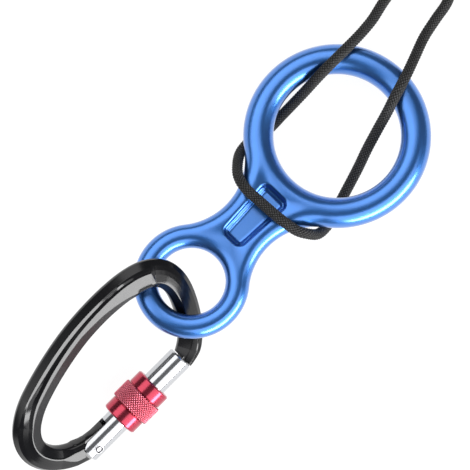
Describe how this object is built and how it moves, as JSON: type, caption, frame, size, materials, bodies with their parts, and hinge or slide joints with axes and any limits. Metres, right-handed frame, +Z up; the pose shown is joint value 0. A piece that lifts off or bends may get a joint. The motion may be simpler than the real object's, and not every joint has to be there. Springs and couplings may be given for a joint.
{
  "type": "figure-eight descender with locking carabiner",
  "caption": "Figure-eight descender for belaying and abseiling, held by a screw-lock carabiner through its small ring, with a cord rigged round its neck.",
  "frame": {"origin": "bottom centre of the metal pieces' box, on the surface they lie on", "axes": "+X along the length from the carabiner's hinge end to the big ring, +Y from the carabiner's gate to its spine, +Z up"},
  "size_m": [0.2779, 0.076, 0.0403],
  "materials": {
    "blue_anodised": "satin anodised, bead blasted then brightened",
    "black_anodised": "glossy hard anodised over forging",
    "polished_alloy": "polished, drawn along its length",
    "rivet_steel": "headed and turned",
    "spring_steel": "drawn wire",
    "plunger_steel": "turned",
    "red_anodised": "glossy anodised, knurled band",
    "o_ring_rubber": "matte",
    "black_cord": "tightly braided sheath"
  },
  "bodies": {
    "figure_eight": {"figure_eight": "blue_anodised", "rope": "black_cord", "rope_knot": "black_cord"},
    "carabiner": {"carabiner_frame": "black_anodised"},
    "gate": {"gate_tube": "polished_alloy", "hinge_rivet": "rivet_steel", "gate_spring": "spring_steel"},
    "plunger": {"spring_plunger": "plunger_steel"},
    "sleeve_ring": {"sleeve_o_ring": "o_ring_rubber"},
    "sleeve": {"locking_sleeve": "red_anodised"}
  },
  "joints": [
    {"name": "carabiner_swing", "type": "hinge", "parent": "figure_eight", "child": "carabiner", "pos_m": [-0.02942, 0, 0.02449], "axis": [1, 0, 0], "range_deg": [0, 66]},
    {"name": "gate_hinge", "type": "hinge", "parent": "carabiner", "child": "gate", "pos_m": [-0.0863, -0.0189, 0.00907], "axis": [0, -0.5707, 0.8212], "range_deg": [0, 25], "stiffness_Nm_per_rad": 0.35, "springref_deg": -28.65},
    {"name": "plunger_slide", "type": "slide", "parent": "gate", "child": "plunger", "axis": [1, 0, 0], "range_m": [0, 0.00158], "deforming": ["gate_spring"]},
    {"name": "sleeve_travel", "type": "slide", "parent": "gate", "child": "sleeve_ring", "axis": [1, 0, 0], "range_m": [-0.005, 0.0179]},
    {"name": "sleeve_spin", "type": "hinge", "parent": "sleeve_ring", "child": "sleeve", "pos_m": [-0.0863, -0.0189, 0.00907], "axis": [1, 0, 0], "range_deg": [-600, 2146]}
  ],
  "couplings": [
    {"joint": "plunger_slide", "follows": "gate_hinge", "m_per_rad": 0.0036},
    {"joint": "sleeve_travel", "follows": "sleeve_spin", "m_per_rad": 0.00047746}
  ]
}
